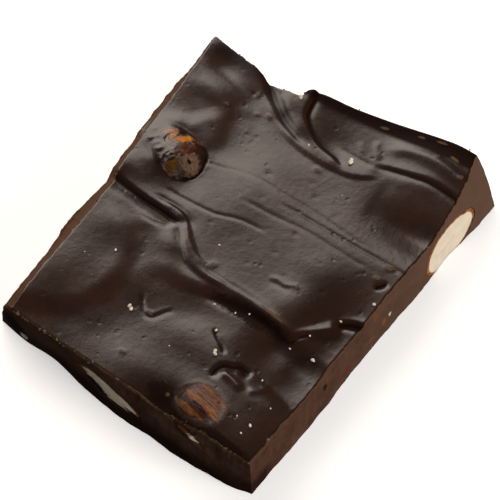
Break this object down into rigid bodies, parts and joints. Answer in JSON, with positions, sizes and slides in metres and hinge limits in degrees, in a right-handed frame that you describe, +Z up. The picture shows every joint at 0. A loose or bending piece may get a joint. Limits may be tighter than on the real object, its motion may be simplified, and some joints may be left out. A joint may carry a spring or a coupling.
{
  "type": "almond bark",
  "caption": "Broken oblong slab of dark chocolate with a folded, spatula-swirled top and whole almonds showing through the top and the cut sides.",
  "frame": {"origin": "on the flat underside, below the middle of the piece", "axes": "+X along the short front edge, +Y along the long left edge, +Z up out of the poured side"},
  "size_m": [0.0918, 0.1071, 0.0176],
  "materials": {
    "dark_chocolate": "satin dark chocolate with a faint grey bloom",
    "almond_skin": "matt wrinkled brown nut skin",
    "almond_flesh": "matt cream nut flesh"
  },
  "bodies": {
    "root": {"chocolate_slab": "dark_chocolate", "almond_back_left": "almond_skin", "almond_front": "almond_skin", "almond_front_cut": "almond_flesh", "almond_right_cut": "almond_flesh", "almond_left_corner": "almond_flesh"}
  },
  "joints": []
}
